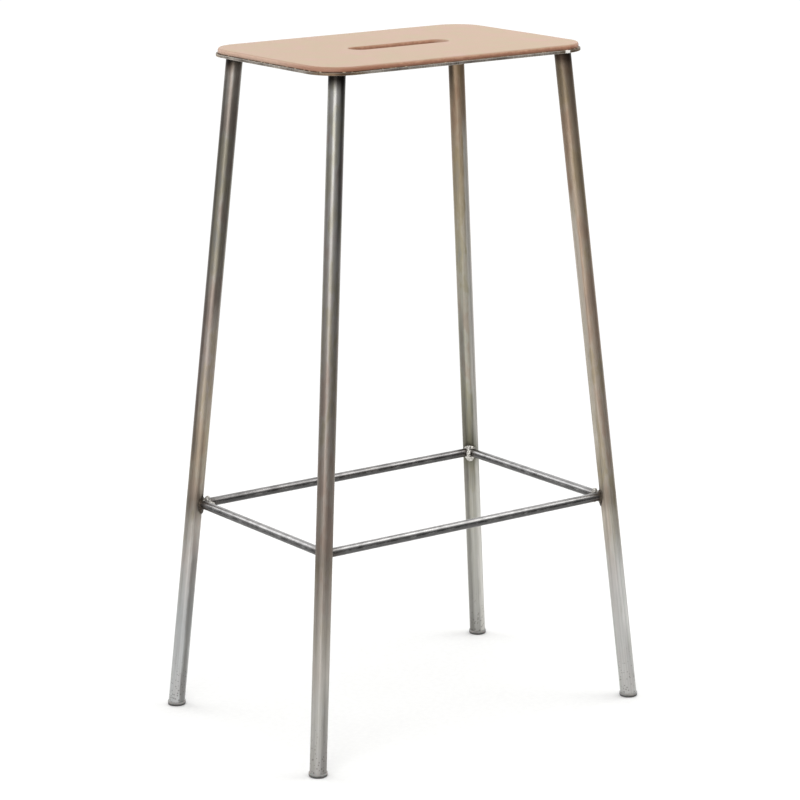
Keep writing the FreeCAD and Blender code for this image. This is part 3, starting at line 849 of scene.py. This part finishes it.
black_weld = weld_metal("burnt_steel_weld", clean="#4A4743", burnt="#211E1C")
sooty_weld = weld_metal("half_brushed_steel_weld", clean="#4E463E", burnt="#2A2521", brushed_within=3)
brushed_weld = weld_metal("brushed_steel_weld", clean="#6A6259", burnt="#3C3631", brushed_within=-4)
nylon = moulded_nylon()
for number, corner in enumerate(CORNERS):
    finish_with("leg_" + corner, raw_steel_tube(corner))
    finish_with("glide_" + corner, nylon)
    top_bead = weld_beads("plate_weld_" + corner, leg_top_run(corner), seed=100 + number)
    new_piece("plate_weld_" + corner, top_bead, black_weld, ["leg_weld_" + corner])
    round_rods = rod_on_leg_run(corner, True) + rod_on_leg_run(corner, False)
    corner_bead = weld_beads(
        "rod_weld_" + corner, round_rods + mitre_run(corner) + under_rods_run(corner), seed=200 + number)
    rod_weld = brushed_weld if corner == "rear_right" else sooty_weld
    new_piece("rod_weld_" + corner, corner_bead, rod_weld, ["footrest_weld_" + corner])
for side in ROD_SHADES:
    finish_with("footrest_" + side, bright_drawn_rod(side))


# ---------------------------------------------------------------- floor

FLOOR_RADIUS = 1.1


def paper_floor():
    """A round of matt white paper under the stool, seen from above only."""
    made, tree, shader = surface("matt_white_paper", Roughness=0.9)
    place = add(tree, "TexCoord", out="Object")
    tone = coloured(tree, clouds(tree, place, 6, 4.0), (0.3, "#F3F3F2"), (0.7, "#F7F7F6"))
    feed(tree, shader, Base_Color=tone)
    below = add(tree, "NewGeometry", out="Backfacing")
    shown = add(tree, "MixShader", {0: below, 1: shader.outputs["BSDF"], 2: add(tree, "BsdfTransparent")})
    tree.links.new(shown, tree.nodes["Material Output"].inputs["Surface"])
    paper = bmesh.new()
    bmesh.ops.create_circle(paper, cap_ends=True, segments=128, radius=FLOOR_RADIUS)
    mesh = bpy.data.meshes.new("floor")
    paper.to_mesh(mesh)
    paper.free()
    mesh.materials.append(made)
    floor = bpy.data.objects.new("floor", mesh)
    bpy.context.scene.collection.objects.link(floor)


paper_floor()


# ---------------------------------------------------------------- camera

CAMERA_AZIMUTH, CAMERA_ELEVATION, CAMERA_ROLL = -35.74, 13.86, -0.38
CAMERA_DISTANCE = 3437.33 * MM
CAMERA_ASIDE, CAMERA_RAISED = -1.24 * MM, -22.15 * MM
CAMERA_LENS = 136.98


def stand_camera():
    """A long lens a little above the seat, in front of the stool and to its left."""
    aim = Vector((0, 0, cad_box[1].z / 2))
    back = compass(CAMERA_AZIMUTH, CAMERA_ELEVATION)
    level_right = compass(CAMERA_AZIMUTH + 90)
    upright = back.cross(level_right)
    roll = math.radians(CAMERA_ROLL)
    right = level_right * math.cos(roll) + upright * math.sin(roll)
    up = upright * math.cos(roll) - level_right * math.sin(roll)
    place = aim + right * CAMERA_ASIDE + up * CAMERA_RAISED + back * CAMERA_DISTANCE
    camera = bpy.data.objects.new("camera", bpy.data.cameras.new("camera"))
    camera.data.lens = CAMERA_LENS
    camera.data.sensor_width = 36.0
    camera.matrix_world = Matrix((
        (right.x, up.x, back.x, place.x), (right.y, up.y, back.y, place.y),
        (right.z, up.z, back.z, place.z), (0, 0, 0, 1)))
    bpy.context.scene.collection.objects.link(camera)
    bpy.context.scene.camera = camera


stand_camera()


# ---------------------------------------------------------------- light

def softbox(name, azimuth, elevation, distance, centre, wide, tall, radiance):
    """A soft light that looks at a point above the origin, at a height that is its centre."""
    lamp = bpy.data.lights.new(name, "AREA")
    lamp.shape = "RECTANGLE"
    lamp.size = wide
    lamp.size_y = tall
    lamp.energy = radiance * math.pi * wide * tall
    box = bpy.data.objects.new(name, lamp)
    box.location = compass(azimuth, elevation) * distance + UP * centre
    box.rotation_euler = compass(azimuth, elevation).to_track_quat("Z", "Y").to_euler()
    box.visible_camera = False
    bpy.context.scene.collection.objects.link(box)


def studio():
    """A white ceiling, a white backdrop and a dim room, which the steel mirrors. The camera sees white."""
    world = bpy.data.worlds.new("studio")
    world.use_nodes = True
    tree = world.node_tree
    tree.nodes.clear()
    way = add(tree, "TexCoord", out="Generated")
    height = along(tree, way, "Z")
    ceiling = mapped(tree, height, 0.25, 0.7, 0.0, 0.8, smooth=True)
    overhead = mapped(tree, height, 0.86, 0.94, 0.0, 1.25, smooth=True)
    far_floor = mapped(tree, height, -0.28, -0.4)
    to_backdrop = between(tree, "DOT_PRODUCT", way, compass(144))
    backdrop = mapped(tree, to_backdrop, 0.2, 0.85, 0.0, 0.9, smooth=True)
    to_left = between(tree, "DOT_PRODUCT", way, compass(-68))
    left_wall = mapped(tree, to_left, -0.3, 1.0, 0.12, 0.56, smooth=True)
    walls = maths(tree, "ADD", backdrop, left_wall)
    low_part = maths(tree, "ADD", walls, far_floor)
    high_part = maths(tree, "ADD", overhead, ceiling)
    room = add(tree, "Background",
               {"Color": linear("#FFFFFF"), "Strength": maths(tree, "MAXIMUM", low_part, high_part)})
    white = add(tree, "Background", {"Color": linear("#FFFFFF"), "Strength": 1.05})
    seen = add(tree, "LightPath", out="Is Camera Ray")
    shown = add(tree, "MixShader", {0: seen, 1: room, 2: white})
    output = tree.nodes.new("ShaderNodeOutputWorld")
    tree.links.new(shown, output.inputs["Surface"])
    bpy.context.scene.world = world
    bpy.context.scene.view_settings.view_transform = "Standard"


studio()
softbox("key_softbox", azimuth=-54, elevation=0, distance=1.6, centre=1.0, wide=0.85, tall=1.9, radiance=1.6)
softbox("right_softbox", azimuth=68, elevation=52, distance=2.2, centre=0.3, wide=1.3, tall=1.3, radiance=2.2)
softbox("rear_softbox", azimuth=-155, elevation=32, distance=2.4, centre=0.3, wide=1.3, tall=1.1,
        radiance=1.9)
